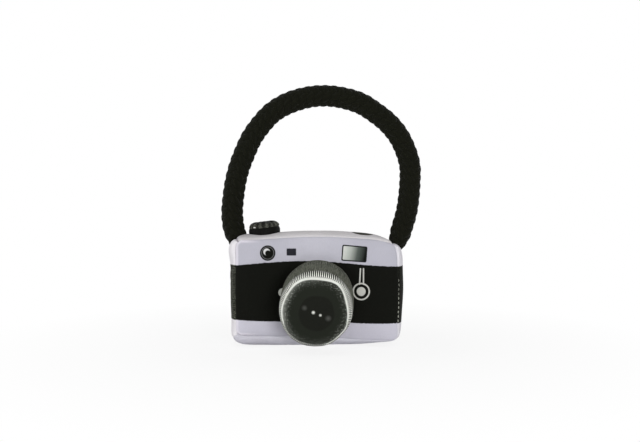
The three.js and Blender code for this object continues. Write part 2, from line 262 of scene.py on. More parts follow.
def lattice(rows, columns, wrap=False, flip=False):
    """Quads of a grid of points, row by row, and each quad corner's row and column.
    Flipped quads face the other way."""
    i, j = np.meshgrid(np.arange(rows - 1), np.arange(columns if wrap else columns - 1), indexing="ij")
    corners = np.stack([np.stack(c, -1) for c in ((i, j), (i, j + 1), (i + 1, j + 1), (i + 1, j))], 2)
    corners = corners.reshape(-1, 4, 2)[:, ::-1 if flip else 1]
    return corners[..., 0] * columns + corners[..., 1] % columns, corners


def normals_of(points, faces):
    p = np.asarray(points)
    made = np.zeros_like(p)
    for face in (np.asarray(faces)[:, [0, 1, 2]], np.asarray(faces)[:, [0, 2, 3]]):
        n = np.cross(p[face[:, 1]] - p[face[:, 0]], p[face[:, 2]] - p[face[:, 0]])
        for k in range(3):
            np.add.at(made, face[:, k], n)
    return made / np.maximum(np.linalg.norm(made, axis=1, keepdims=True), 1e-12)


def lumps(points, size, seed):
    """Smooth random numbers from -1 to 1 that change over this many millimetres."""
    shift = Vector((seed * 7.3, seed * 3.1, seed * 5.7))
    return np.array([noise.noise(Vector(p) / size + shift) for p in points])


def near(value, place, width):
    """1 at a place, fading to 0 over a width."""
    return np.exp(-((value - place) / width) ** 2)


def circle(count):
    return np.linspace(0, 2 * math.pi, count, endpoint=False)


def lengths_along(line):
    """How far along a line each of its points is."""
    return np.concatenate([[0], np.cumsum(np.linalg.norm(np.diff(line, axis=0), axis=1))])


class Tubes:
    """Strands or threads that become one piece."""

    def __init__(self):
        self.points, self.faces, self.cuts = [], [], []

    def add(self, middle, broad, thin, half_width, half_depth, sides, cut_around, cut_along, shift=(0, 0)):
        """Add a tube round a line, by its half sizes along broad and thin, and its cut place."""
        turn = circle(sides)[None, :, None]
        rings = (middle[:, None]
                 + half_width[:, None, None] * np.cos(turn) * np.atleast_2d(broad)[:, None]
                 + half_depth[:, None, None] * np.sin(turn) * np.atleast_2d(thin)[:, None])
        quads, corners = lattice(len(middle), sides, wrap=True, flip=True)
        self.faces.append(quads + sum(map(len, self.points)))
        self.points.append(rings.reshape(-1, 3))
        spot = np.stack([corners[..., 1] / sides * cut_around, cut_along[corners[..., 0]]], -1)
        self.cuts.append(spot + np.array(shift))

    def piece(self, name, dye):
        points, faces, cuts = map(np.concatenate, (self.points, self.faces, self.cuts))
        return piece(name, points, faces, dye, None, cuts)


# Rope handle: twelve strands, six each way, each over two and under two

ROPE_ROUTE = np.array([
    [-60.0, 77.5], [-62.8, 83.0], [-65.3, 88.6], [-67.2, 94.2],
    [-68.6, 106.5], [-67.6, 120], [-65.7, 132.8], [-62.6, 144.6], [-57.9, 156.7], [-52.5, 168.2],
    [-45.4, 178.3], [-36.6, 187.9], [-26.0, 194.8], [-14.1, 199.3], [-1.6, 201.9], [11.3, 202.1],
    [24.0, 200.1], [36.3, 196.1], [47.5, 189.1], [58.0, 180.8], [66.7, 170.5], [72.8, 158.3],
    [76.4, 145.6], [76.5, 132.3], [75.6, 119.7], [73.6, 107],
    [69.9, 94.2], [68.1, 88.2], [65.5, 82.4], [61.6, 77.0],
])
ROPE_RINGS = 290
ROPE_PITCH = 40.0  # length in which a strand goes once round
ROPE_LEFT_END, ROPE_RIGHT_END = 0.78, 0.64  # share of the thickness where the rope is sewn in
STRANDS = 6
STRAND_LAY = 6.3  # radius that a strand weaves about
STRAND_WEAVE = 0.9
STRAND_HALF_WIDTH, STRAND_HALF_DEPTH = 3.2, 2.0
STRAND_SIDES = 12
CORE_RADIUS = 5.6


def between(a, b, c, d):
    """Points from b up to c on the smooth line that also passes a and d."""
    knots = np.cumsum([0] + [np.linalg.norm(v) ** 0.5 for v in (b - a, c - b, d - c)])
    t = np.linspace(knots[1], knots[2], 40, endpoint=False)[:, None]

    def mix(u, v, start, end):
        return (u * (knots[end] - t) + v * (t - knots[start])) / (knots[end] - knots[start])

    ab, bc, cd = mix(a, b, 0, 1), mix(b, c, 1, 2), mix(c, d, 2, 3)
    return mix(mix(ab, bc, 0, 2), mix(bc, cd, 1, 3), 1, 2)


def through(points, count):
    """Evenly spaced points of a smooth line through points, and how far along it they are."""
    p = np.vstack([2 * points[0] - points[1], points, 2 * points[-1] - points[-2]])
    line = np.vstack([between(*four) for four in zip(p, p[1:], p[2:], p[3:])] + [points[-1]])
    run = lengths_along(line)
    s = np.linspace(0, run[-1], count)
    return np.stack([np.interp(s, run, line[:, k]) for k in range(line.shape[1])], 1), s


def rope_yarn():
    dye = Dye("rope_yarn")
    turn, along, place = dye.cut()
    yarns = ((turn + along * 0.55) * 2.4).sine()
    fibre = dye.cloud(dye.stretched(place, 6.0, 1.2), 1.0, 3, 0.65)
    worn = dye.cloud(place, 0.05, 2)
    light = 0.62 + fibre * 0.55 + yarns * 0.16 + worn * 0.25
    height = yarns * 0.5 + fibre * 0.9
    return dye.finish(
        base_color=dye.shade(tone(13, 14, 4), light),
        roughness=0.86,
        sheen_weight=0.03,
        sheen_roughness=0.5,
        specular_ior_level=0.12,
        normal=dye.bump(height, 0.7, 0.35),
    )


def rope_girth(line, s):
    """The rope's thickness as a share of its full one: less at the sewn ends, and a little uneven."""
    to_end = np.minimum(s, s[-1] - s)
    least = np.where(s < s[-1] / 2, ROPE_LEFT_END, ROPE_RIGHT_END)
    slim = least + (1 - least) * np.clip((to_end - 2) / 14, 0, 1) ** 0.7
    return slim * (1 + 0.02 * lumps(line, 23, 1))


def rope_handle():
    flat_line, s = through(ROPE_ROUTE, ROPE_RINGS)
    line = np.stack([flat_line[:, 0], np.zeros(len(s)), flat_line[:, 1]], 1)
    along = unit(np.gradient(line, s, axis=0))
    outward = np.stack([-along[:, 2], np.zeros(len(s)), along[:, 0]], 1)
    sideways = np.array([0.0, 1.0, 0.0])
    girth = rope_girth(line, s)
    rate = 2 * math.pi / ROPE_PITCH
    crossing = STRANDS * rate * s / math.pi
    braid = Tubes()
    for way in (1, -1):
        for strand in range(STRANDS):
            rise = way * np.cos(math.pi / 2 * (2 * strand + way * crossing - 0.5))
            radius = (STRAND_LAY + STRAND_WEAVE * rise) * girth
            angle = 2 * math.pi * strand / STRANDS + way * rate * s
            out = np.cos(angle)[:, None] * outward + np.sin(angle)[:, None] * sideways
            middle = line + out * radius[:, None]
            run = unit(np.gradient(middle, s, axis=0))
            broad = unit(np.cross(run, out))
            thin = np.cross(broad, run)
            braid.add(middle, broad, thin, STRAND_HALF_WIDTH * girth, STRAND_HALF_DEPTH * girth,
                      STRAND_SIDES, 15.0, s * 1.3, (strand * 3.7, way * 1.9))
    core = CORE_RADIUS * girth
    braid.add(line, outward, sideways, core, core, STRAND_SIDES, 16.0, s)
    made = braid.piece("rope_handle_braid", rope_yarn())
    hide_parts("rope_handle")
    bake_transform(made)


rope_handle()


# Body form

BODY_WIDTH, BODY_HEIGHT, BODY_DEPTH, CORNER = 130.0, 79.6, 40.0, 6.0
TOP_BOW, SIDE_BOW = 2.5, 0.6
PANEL_CROWN = 5.0
TOP_SWELL, SIDE_SWELL = 2.9, 4.2
STUFFED = 2.4  # how far the stuffing can push a cover out
SLACK = 2.3  # how much flatter the covers are before they are stuffed
SEAM_BOTTOM = 7.2
SEAM_MIDDLE = SEAM_BOTTOM + BODY_HEIGHT / 2
HALF_DEPTH = BODY_DEPTH / 2
FLOOR_GAP = 0.15
GRID_STEP = 2.5
FOOT_TILT, TILT_TOP, TILT_DEPTH = 0.035, 32.0, 22.0  # slope of the bottom seam, and where it fades out
SHOULDER_HEIGHT = 79.2  # where the rope leaves the right strip
LENS_ROOT = np.array([0.6, -25.0, SEAM_MIDDLE - 4.5])
EDGES = (
    ("top", (0, 1), TOP_BOW),
    ("right", (1, 0), SIDE_BOW),
    ("bottom", (0, -1), 0.0),
    ("left", (-1, 0), SIDE_BOW),
)


def graded(length):
    """Places from 0 to 1 along a length, closer together near its two ends."""
    close = np.array([0, 0.7, 1.6, 2.8, 4.4, 6.4])
    count = round((length - 2 * close[-1]) / GRID_STEP)
    middle = np.linspace(close[-1], length - close[-1], count + 1)[1:-1]
    return np.concatenate([close, middle, length - close[::-1]]) / length


def edge_line(out, bow, shares):
    """Points of one edge of the body's outline, from corner middle to corner middle: x, z and facing."""
    along = np.array([out[1], -out[0]])
    out = np.array(out)
    half = (BODY_HEIGHT if out[0] else BODY_WIDTH) / 2 - CORNER
    reach = (BODY_WIDTH if out[0] else BODY_HEIGHT) / 2
    arc = CORNER * math.pi / 4
    s = shares * (2 * half + 2 * arc) - arc - half
    over = np.sign(s) * np.clip(np.abs(s) - half, 0, None) / CORNER
    run = np.clip(s, -half, half)
    run_all = run + CORNER * np.sin(over)
    rise = reach - CORNER * (1 - np.cos(over)) + bow * (1 - (run / half) ** 2) ** 2
    spot = run_all[:, None] * along + rise[:, None] * out + np.array([0, SEAM_MIDDLE])
    low = np.clip((TILT_TOP - spot[:, 1]) / TILT_DEPTH, 0, 1)
    spot[:, 1] -= FOOT_TILT * spot[:, 0] * low ** 2 * (3 - 2 * low)
    facing = np.sin(over)[:, None] * along + np.cos(over)[:, None] * out
    drawn_by_rope = 3.2 * near(spot[:, 0], 63, 11) * near(spot[:, 1], 87, 9)
    return spot - facing * drawn_by_rope[:, None], facing


def swell_of(spot, facing):
    """How far an edge strip swells. The left strip stands out below the rope, the rope draws the right
    shoulder down, and the underside leaves the floor a little at the right."""
    x, z = spot.T
    side, upright = facing.T ** 2
    above = facing[:, 1] > 0
    to_left, to_right = np.clip(-facing[:, 0], 0, 1), np.clip(facing[:, 0], 0, 1)
    lift = 1.7 * np.clip((x - 5) / 50, 0, 1) + 1.2 * np.clip((x - 38) / 22, 0, 1) ** 2
    made = SIDE_SWELL * side + np.where(above, TOP_SWELL, z + 0.3 - lift) * upright
    corner = np.where(above, 0.8, np.where(facing[:, 0] < 0, 0.5, -0.8))
    made += corner * 4 * side * upright
    made += 3.3 * to_left * near(z, 78, 7)
    made += 0.8 * to_right * near(z, 50, 22)
    made -= 1.9 * near(x, 60, 10) * near(z, 85, 8)
    made += 1.2 * to_right ** 2 * near(z, 73, 6)
    width = np.where(z < SHOULDER_HEIGHT, 2.6, 1.5)
    made += 2.8 * to_right ** 2 * near(z, SHOULDER_HEIGHT, width)
    return made


LONG_SHARES = graded(2 * (BODY_WIDTH / 2 - CORNER) + CORNER * math.pi / 2)
SHORT_SHARES = graded(2 * (BODY_HEIGHT / 2 - CORNER) + CORNER * math.pi / 2)
STRIP_PLACES = 2 * graded(BODY_DEPTH) - 1


class Body:
    """The stuffed body as one closed skin, and the cover that each of its faces belongs to."""

    def __init__(self):
        lines = [edge_line(out, bow, LONG_SHARES if out[1] else SHORT_SHARES) for _, out, bow in EDGES]
        self.spot = np.concatenate([p[:-1] for p, _ in lines])
        self.facing = np.concatenate([f[:-1] for _, f in lines])
        self.across, self.down = len(LONG_SHARES) - 1, len(SHORT_SHARES) - 1
        self.flat = self.patch([p for p, _ in lines])
        self.count = len(self.flat)
        self.ring = self.patch_ring()
        self.points = self.skin()
        self.sort_faces()

    def patch(self, sides):
        """A face panel's points, spread evenly between its four edges."""
        top, right, bottom, left = sides[0], sides[1], sides[2][::-1], sides[3][::-1]
        a, b = LONG_SHARES[None, :, None], SHORT_SHARES[:, None, None]
        across = (1 - b) * top[None] + b * bottom[None]
        down = (1 - a) * left[:, None] + a * right[:, None]
        corners = ((1 - a) * (1 - b) * top[0] + a * (1 - b) * top[-1]
                   + (1 - a) * b * bottom[0] + a * b * bottom[-1])
        return (across + down - corners).reshape(-1, 2)

    def patch_ring(self):
        """The panel points along its edge, in the outline's order."""
        at = np.arange(self.count).reshape(self.down + 1, self.across + 1)
        return np.concatenate([at[0, :-1], at[:-1, -1], at[-1, :0:-1], at[:0:-1, 0]])

    def crown(self):
        """How much a panel bulges at each of its points: 1 at the lens, 0 at the seam."""
        way = self.flat - LENS_ROOT[[0, 2]]
        rim = self.spot - LENS_ROOT[[0, 2]]
        angle = np.arctan2(rim[:, 1], rim[:, 0])
        order = np.argsort(angle)
        reach = np.interp(np.arctan2(way[:, 1], way[:, 0]), angle[order],
                          np.linalg.norm(rim, axis=1)[order], period=2 * math.pi)
        share = np.minimum(np.linalg.norm(way, axis=1) / reach, 1)
        share[self.ring] = 1
        return (1 - share ** 3) ** 0.7

    def skin(self):
        """Points of the front panel, the back panel and the edge strips between them."""
        crown = (PANEL_CROWN - SLACK) * self.crown()
        front = np.stack([self.flat[:, 0], -HALF_DEPTH - crown, self.flat[:, 1]], 1)
        back = front * (1, -1, 1)
        inner = STRIP_PLACES[1:-1, None]
        off = (swell_of(self.spot, self.facing) - SLACK) * (1 - inner ** 4) ** 0.6
        strip = np.stack([self.spot[:, 0] + self.facing[:, 0] * off,
                          np.broadcast_to(inner * HALF_DEPTH, off.shape),
                          self.spot[:, 1] + self.facing[:, 1] * off], -1)
        return above_floor(np.concatenate([front, back, strip.reshape(-1, 3)]))

    def sort_faces(self):
        """The faces of each cover, and the points of each kind of seam."""
        around = len(self.spot)
        strip_rows = np.arange(2 * self.count, len(self.points)).reshape(-1, around)
        rows = np.vstack([self.ring, strip_rows, self.count + self.ring])
        quads, _ = lattice(self.down + 1, self.across + 1)
        quads = quads[:, [0, 3, 2, 1]]
        self.covers = {"front": quads, "back": quads[:, ::-1] + self.count}
        sides = (self.across, self.down, self.across, self.down)
        start = 0
        for (name, _, _), steps in zip(EDGES, sides):
            columns = rows[:, np.arange(start, start + steps + 1) % around]
            quads, _ = lattice(*columns.shape)
            self.covers[name] = columns.reshape(-1)[quads]
            start += steps
        self.faces = np.concatenate(list(self.covers.values()))
        corners = rows[:, np.cumsum([0, *sides[:3]])]
        self.seams = {
            "panels": np.concatenate([self.ring, self.count + self.ring]),
            "shoulders": corners[:, :2].ravel(),
            "feet": corners[:, 2:].ravel(),
        }

    def to_seam(self, name):
        """Each point's distance to these seams."""
        along = self.points[self.seams[name]]
        return np.linalg.norm(self.points[:, None] - along[None], axis=2).min(1)


def above_floor(points):
    points[:, 2] = np.maximum(points[:, 2], FLOOR_GAP)
    return points


STUFFING_STEPS = 20
STUFFING_SCALE = 10  # the cloth solver is steadier on a larger copy
CLOTH = dict(quality=6, mass=0.05, tension_stiffness=20, compression_stiffness=20, shear_stiffness=8,
             bending_stiffness=0.6, air_damping=2, use_pressure=True, pin_stiffness=1)


def stuffed(points, faces, held, pressure, spare, cap):
    """The points after stuffing: cloth, a little larger than its seams, is blown up between held points,
    and moves no further than a cap."""
    size = STUFFING_SCALE * MM
    mesh = mesh_of("stuffing_try", points, faces, size)
    cloth = added("stuffing_try", mesh)
    cloth.vertex_groups.new(name="held").add(np.flatnonzero(held).tolist(), 1.0, "REPLACE")
    modifier = cloth.modifiers.new("stuffing", "CLOTH")
    setup = modifier.settings
    for name, value in CLOTH.items():
        setattr(setup, name, value)
    setup.uniform_pressure_force = pressure
    setup.shrink_min = -spare
    setup.vertex_group_mass = "held"
    setup.effector_weights.gravity = 0
    modifier.collision_settings.use_collision = False
    modifier.point_cache.frame_start = 1
    modifier.point_cache.frame_end = STUFFING_STEPS
    for step in range(1, STUFFING_STEPS + 1):
        scene.frame_set(step)
    shown = cloth.evaluated_get(bpy.context.evaluated_depsgraph_get())
    moved = np.zeros(len(points) * 3, np.float32)
    shown.data.vertices.foreach_get("co", moved)
    bpy.data.objects.remove(cloth)
    bpy.data.meshes.remove(mesh)
    scene.frame_set(1)
    shift = moved.reshape(-1, 3) / size - points
    far = np.linalg.norm(shift, axis=1, keepdims=True)
    return points + shift * np.minimum(1, cap / np.maximum(far, 1e-9))


# Cloth prints

SILVER = tone(184, 182, 192)
# Lighter and darker copies of the silver, as painted light and shade on each part of the front and the
# strips
SILVER_PAINTED_SHADE_TOP = tone(176, 175, 185)
SILVER_PAINTED_LIGHT_BOTTOM = tone(194, 192, 203)
SILVER_PAINTED_LIGHT_MIDDLE = tone(190, 189, 198)
SEAM_PAINTED_HIGHLIGHT, SEAM_SHADE = tone(226, 221, 230), tone(132, 126, 138)
LEFT_SILVER_PAINTED_LIGHT = tone(221, 218, 222)
RIGHT_SILVER_PAINTED_LIGHT = tone(212, 210, 216)
TOP_SILVER_PAINTED_LIGHT, TOP_LEFT_SILVER_PAINTED_SHADE = tone(204, 201, 203), tone(192, 189, 191)
BOTTOM_SILVER_PAINTED_LIGHT, BOTTOM_LEFT_SILVER_PAINTED_SHADE = tone(219, 218, 227), tone(198, 196, 205)
BLACK = tone(15, 16, 12)
PALE_PRINT = tone(190, 190, 184)
BAND_BOTTOM = 21.0
FINDER_MIDDLE, FINDER_TURN = (29.8, 75.0), math.radians(-4.8)


def pile(dye, place, roughness=0.8, sheen=0.02):
    """Short brushed pile: fine fibres, a nap that lies one way, and slow changes of shade."""
    fibre = dye.cloud(place, 3.2, 2, 0.6)
    nap = dye.cloud(dye.stretched(place, 1.5, 0.55), 0.8, 3, 0.6)
    slow = dye.cloud(place, 0.045, 2)
    light = 0.86 + fibre * 0.12 + nap * 0.1 + slow * 0.08
    return dye.finish(
        base_color=dye.shade(dye.colour, light),
        roughness=roughness + (nap - 0.5) * 0.12,
        sheen_weight=sheen,
        sheen_roughness=0.45,
        specular_ior_level=0.06,
        normal=dye.bump(fibre * 0.5 + nap * 0.8, 0.35, 0.4),
    )


def ragged(dye, place, amount=0.35):
    """How far a print's edge strays among the fibres."""
    return (dye.cloud(place, 1.6, 2) - 0.5) * amount


def band_edge(x):
    """The black band's upper edge: it follows the cloth's bulge."""
    return 69.1 - x * 0.036 - x * x * 0.0016 + x * x * x * 6.9e-6 + x * x * x * x * 1.62e-7


def front_silver(dye, x, z):
    """The silver ground, with painted shade towards the top, painted light towards the bottom and the
    middle, a painted highlight where it turns over into the left seam, and painted shade in the seam's
    crease.
    """
    # Painted shade towards the top, painted light towards the bottom and the middle
    dye.layer(((z - 25) / 35).kept(), SILVER_PAINTED_SHADE_TOP)
    dye.layer((1 - abs(x) / 32).kept() * 0.7, SILVER_PAINTED_LIGHT_MIDDLE)
    low = ((TILT_TOP - z) / TILT_DEPTH).kept()
    level = z + x * FOOT_TILT * low * low * (3 - low * 2)
    half = (BODY_WIDTH / 2 + 0.2, BODY_HEIGHT / 2)
    edge = off_window(x, level, (0.0, SEAM_MIDDLE), half, CORNER)
    at_left = ((-44 - x) / 12).kept()
    creased = at_left | (((-12 - x) / 18).kept() * ((20 - z) / 4).kept())
    # Painted highlight where the panel turns over into the left seam, and painted shade in the seam's
    # crease
    dye.layer(within(-3.0 - edge, 1.6) * at_left * 0.7, SEAM_PAINTED_HIGHLIGHT)
    dye.layer(within(abs(edge + 0.3) - 0.35, 0.4) * creased * 0.8, SEAM_SHADE)


def front_windows(dye, x, z, rough):
    """A round mark with a glint, a small dark window and the large finder window."""
    disc = off_disc(x, z, (-38.6, 75.5), 6.05)
    dye.layer(within(disc + rough, 0.3), BLACK)
    dye.layer(within(abs(disc + 1.3) - 0.28, 0.3) * 0.55, tone(120, 120, 122))
    glint = off_disc(x, z, (-39.4, 76.4), 2.6) | (2.3 - length_of(x + 38.3, z - 75.3))
    dye.layer(within(glint, 0.5) * 0.9, tone(215, 215, 215))
    small = off_window(x, z, (-20.1, 76.35), (3.75, 2.75), 0.4)
    dye.layer(within(small + rough, 0.3), tone(38, 38, 44))
    finder = off_window(x, z, FINDER_MIDDLE, (9.9, 6.3), 1.3, FINDER_TURN)
    dye.layer(within(finder + rough * 0.6, 0.3), tone(26, 27, 26))
    glass = off_window(x, z, FINDER_MIDDLE, (8.9, 5.3), 0.7, FINDER_TURN)
    sweep = ((x - 21.5) / 17.0 - (z - FINDER_MIDDLE[1]) * 0.012).kept()
    glass_tone = tone(198, 201, 196)
    for start, end, shade in ((0.0, 0.3, tone(165, 170, 164)), (0.3, 0.62, tone(82, 89, 84)),
                              (0.62, 1.0, tone(14, 17, 15))):
        glass_tone = dye.paint(((sweep - start) / (end - start)).kept(), glass_tone, shade)
    dye.layer(within(glass, 0.3), glass_tone)


def front_levers(dye, x, z, rough):
    """The lever with its round pivot at the right of the lens, and the catch at its left."""
    lever = (off_line(x, z, (34.5, 63.1), (33.9, 51.0), 1.05)
             & off_line(x, z, (36.9, 63.1), (36.9, 51.0), 1.05))
    pivot = off_disc(x, z, (35.15, 45.2), 6.3)
    lever = lever & (abs(pivot) - 0.55) & (pivot + 2.8)
    dye.layer(within(lever + rough * 0.4, 0.3), PALE_PRINT)
    # The catch is pale print, painted lighter still as painted light where the lens's shadow falls on it
    catch = off_disc(x, z, (-27.0, 44.4), 3.3)
    dye.layer(within(catch + rough * 0.5, 0.3), tone(232, 234, 226))


def front_print():
    dye = Dye("front_print_cloth", SILVER_PAINTED_LIGHT_BOTTOM)
    x, z, place = dye.cut()
    rough = ragged(dye, place)
    wobble = rough + (dye.cloud(place, 0.55, 2, 0.6) - 0.5) * 0.9
    upper = z - band_edge(x) + wobble
    lower = (BAND_BOTTOM - x * 0.024) - z + wobble
    front_silver(dye, x, z)
    dye.layer(within(upper | lower, 0.35), BLACK)
    front_windows(dye, x, z, rough)
    front_levers(dye, x, z, rough)
    return pile(dye, place)


def back_print():
    dye = Dye("back_print_cloth", SILVER)
    _, z, place = dye.cut()
    rough = ragged(dye, place)
    dye.layer(within((z - 66.5 + rough) | (BAND_BOTTOM - z + rough), 0.35), BLACK)
    return pile(dye, place)


def side_print(name, silver, upper, lower, thread):
    """Edge strip at the side. Where the black print is stretched, the cloth's base shows as flecks."""
    dye = Dye(name, silver)
    _, z, place = dye.cut()
    rough = ragged(dye, place, 0.4)
    band = within((z - upper + rough) | (lower - z + rough), 0.35)
    flecks = dye.cloud(dye.stretched(place, 0.45, 1.0), 1.5, 2, 0.65)
    worn = dye.paint(((flecks - 0.53) * 13).kept() * thread, BLACK, tone(142, 145, 130))
    dye.layer(band, worn)
    return pile(dye, place)


def top_print():
    """Top strip, with the printed dial at the right, the left end painted darker as painted shade, and
    painted shade along the corner seam at the left.
    """
    dye = Dye("top_strip_cloth", TOP_SILVER_PAINTED_LIGHT)
    x, y, place = dye.cut()
    dial = off_disc(x, y, (37.0, -5.0), 8.6)
    # Painted shade: the left end of the strip is darker
    dye.layer(((-20 - x) / 30).kept(), TOP_LEFT_SILVER_PAINTED_SHADE)
    dye.layer(within(dial + ragged(dye, place), 0.35), tone(44, 43, 36))
    dye.layer(within(abs(dial + 2.6) - 0.35, 0.3), tone(92, 90, 80))
    # Painted shade in the crease of the corner seam
    crease = within(x + 62.7, 0.8) * ((-10 - y) / 6).kept()
    dye.layer(crease * 0.7, tone(136, 130, 140))
    return pile(dye, place)


def bottom_cloth():
    # A lighter copy of the silver as painted light, painted darker towards the left as painted shade
    dye = Dye("bottom_strip_cloth", BOTTOM_SILVER_PAINTED_LIGHT)
    x, _, place = dye.cut()
    dye.layer(((-15 - x) / 30).kept(), BOTTOM_LEFT_SILVER_PAINTED_SHADE)
    return pile(dye, place)


# Seam thread

STITCH_PITCH, STITCH_LENGTH, THREAD_RADIUS = 3.6, 2.2, 0.25
STITCH_SIDES = 6
STITCH_PLACES = np.array([-0.5, -0.46, -0.2, 0.2, 0.46, 0.5])
STITCH_GIRTH = np.array([0.15, 0.7, 1, 1, 0.7, 0.15])
STRAINED_SHIFT = np.array([1.0, 0.2, 0])


def thread_cotton():
    dye = Dye("seam_thread")
    _, along, place = dye.cut()
    twist = (along * 9.0).sine()
    fuzz = dye.cloud(place, 3.0, 2, 0.6)
    return dye.finish(
        base_color=dye.shade(tone(160, 162, 150), 0.8 + twist * 0.08 + fuzz * 0.25),
        roughness=0.75,
        normal=dye.bump(twist + fuzz, 0.4, 0.1),
    )


def seam_stitches(body, points, normals):
    """Stitches in the panel seams. They lie deep, except where the right seam is strained."""
    thread = Tubes()
    for ring in (body.ring, body.count + body.ring):
        out = normals[ring]
        closed = points[np.append(ring, ring[0])]
        run = lengths_along(closed)
        for place in np.arange(0, run[-1] - STITCH_PITCH, STITCH_PITCH):
            span = place + STITCH_PLACES * STITCH_LENGTH
            middle = np.stack([np.interp(span, run, closed[:, k], period=run[-1]) for k in range(3)], 1)
            up = unit([np.interp(place, run[:-1], out[:, k], period=run[-1]) for k in range(3)])
            x, y, z = middle[2]
            strained = x > 60 and y < 0 and 20 < z < 54
            radius, stands = THREAD_RADIUS, -0.8
            if strained:
                stands = 0.15 + 0.45 * noise.noise(Vector((0, 0, place * 0.37)))
                uneven = 0.5 * noise.noise(Vector((7, 0, place * 0.61)))
                radius *= 1 + np.clip((44 - z) / 20, -0.3, 0.8) + uneven
                middle = middle + STRAINED_SHIFT
            middle = middle + up * stands
            across = unit(np.cross(unit(middle[-1] - middle[0]), up))
            girth = radius * STITCH_GIRTH
            thread.add(middle, across, up, girth, girth, STITCH_SIDES, 2.16, span)
    made = thread.piece("seam_stitches", thread_cotton())
    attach(made, "camera_body")


# Body covers

SEAM_TURN_IN = 2.6  # cloth that is turned in at a seam
SEAM_DEPTHS = (("panels", 1.5), ("shoulders", 1.4), ("feet", 0.1))
LENS_HOLE, LENS_SEAM = 27.0, 28.3


def cover(name, points, normals, faces, dye, cut):
    """One cover of the body, with its edge turned in at the seams."""
    used = np.unique(faces)
    index = np.full(len(points), -1)
    index[used] = np.arange(len(used))
    quads = index[faces]
    spots, out, cut = points[used], normals[used], np.asarray(cut)[used]
    edges = np.concatenate([quads[:, [k, (k + 1) % 4]] for k in range(4)])
    paired = {(b, a) for a, b in map(tuple, edges)}
    rim = np.array([e for e in map(tuple, edges) if e not in paired])
    rim_points = np.unique(rim)
    turned = np.full(len(used), -1)
    turned[rim_points] = len(used) + np.arange(len(rim_points))
    flange = np.stack([rim[:, 1], rim[:, 0], turned[rim[:, 0]], turned[rim[:, 1]]], 1)
    spots = np.concatenate([spots, spots[rim_points] - out[rim_points] * SEAM_TURN_IN])
    cut = np.concatenate([cut, cut[rim_points]])
    made = piece(name, spots, np.concatenate([quads, flange]), dye, cut)
    crease = made.data.attributes.new("crease_edge", "FLOAT", "EDGE")
    sharp = {tuple(sorted(e)) for e in rim.tolist()}
    for edge in made.data.edges:
        crease.data[edge.index].value = 1.0 if tuple(sorted(edge.vertices)) in sharp else 0.0
    return smoothed(made)


def sewn_and_stuffed(body):
    """The body's points when it is stuffed and its seams are drawn in, and the directions they face."""
    start = body.points
    to_axis = np.linalg.norm((start - LENS_ROOT)[:, [0, 2]], axis=1)
    on_front = start[:, 1] < -HALF_DEPTH + 0.01
    held = ((start[:, 1] < -HALF_DEPTH) & (to_axis < LENS_HOLE)) | (start[:, 2] < 0.6)
    for seam in body.seams.values():
        held[seam] = True
    points = stuffed(start, body.faces, held, 12, 0.012, STUFFED)
    normals = normals_of(points, body.faces)
    gaps = {name: body.to_seam(name) for name in body.seams}
    gap = np.minimum.reduce(list(gaps.values()))
    draw = np.maximum.reduce([depth * np.exp(-(gaps[name] / 1.15) ** 1.3) for name, depth in SEAM_DEPTHS])
    draw *= 1 - 0.6 * np.clip((start[:, 0] - 15) / 15, 0, 1) * (start[:, 2] < 16)
    from_left_corner = np.linalg.norm(start - start[body.ring[0]], axis=1)
    draw += 1.5 * near(from_left_corner, 0, 2.4)
    draw += on_front * near(to_axis, LENS_SEAM, 2.2)
    pucker = lumps(start, 3.4, 3) * 0.2 * np.exp(-(gap / 4.5) ** 1.2) * (1 - near(gap, 0, 0.8))
    soft = 0.35 * lumps(start, 17, 5) * np.minimum(gap / 8, 1)
    return above_floor(points + normals * (soft + pucker - draw)[:, None]), normals


def body_covers():
    body = Body()
    points, normals = sewn_and_stuffed(body)
    front_back, sides, ends = (body.points[:, pair] for pair in ([0, 2], [1, 2], [0, 1]))
    looks = {
        "front": ("front_panel", front_print(), front_back),
        "back": ("back_panel", back_print(), front_back),
        "top": ("top_gusset", top_print(), ends),
        "bottom": ("bottom_gusset", bottom_cloth(), ends),
        # The side strips take lighter copies of the silver, as painted light
        "left": ("left_gusset", side_print("left_strip_cloth", LEFT_SILVER_PAINTED_LIGHT, 66.0, 22.3, 0.54), sides),
        "right": ("right_gusset", side_print("right_strip_cloth", RIGHT_SILVER_PAINTED_LIGHT, 64.6, 19.2, 0.06), sides),
    }
    for side, (node, dye, cut) in looks.items():
        made = cover(node + "_cover", points, normals, body.covers[side], dye, cut)
        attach(made, "camera_body")
        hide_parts(node)
        if side == "front":
            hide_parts("body_stuffing")
    seam_stitches(body, points, normals)


body_covers()


# Padded drums: the lens and the shutter knob

AROUND = 144
TURN = circle(AROUND)


class Drum:
    """A round padded form about an axis."""

    def __init__(self, root, axis):
        self.root = np.array(root)
        self.axis = unit(axis)
        self.right = unit(np.array([1.0, 0, 0]) - self.axis[0] * self.axis)
        self.up = np.cross(self.axis, self.right)
        self.out = np.cos(TURN)[:, None] * self.right + np.sin(TURN)[:, None] * self.up

    def rings(self, radius, height):
        """Points of rings, by their radius and height at each turn, and the quads between them."""
        radius, height = np.broadcast_arrays(radius, height, TURN[None])[:2]
        points = self.root + radius[..., None] * self.out[None] + height[..., None] * self.axis
        quads, corners = lattice(*radius.shape, wrap=True)
        return points.reshape(-1, 3), quads, corners


def band_cut(corners, girth, heights):
    """Cut place, by face corner, of a band that is sewn into a ring."""
    return np.stack([corners[..., 1] * (girth / AROUND), heights[corners[..., 0]]], -1)


def disc_cut(reach):
    """Cut place, by point, of a disc whose rings lie this far out, and of its middle."""
    flat = np.stack([np.cos(TURN), np.sin(TURN)], 1)
    return np.concatenate([r * flat for r in reach] + [np.zeros((1, 2))])


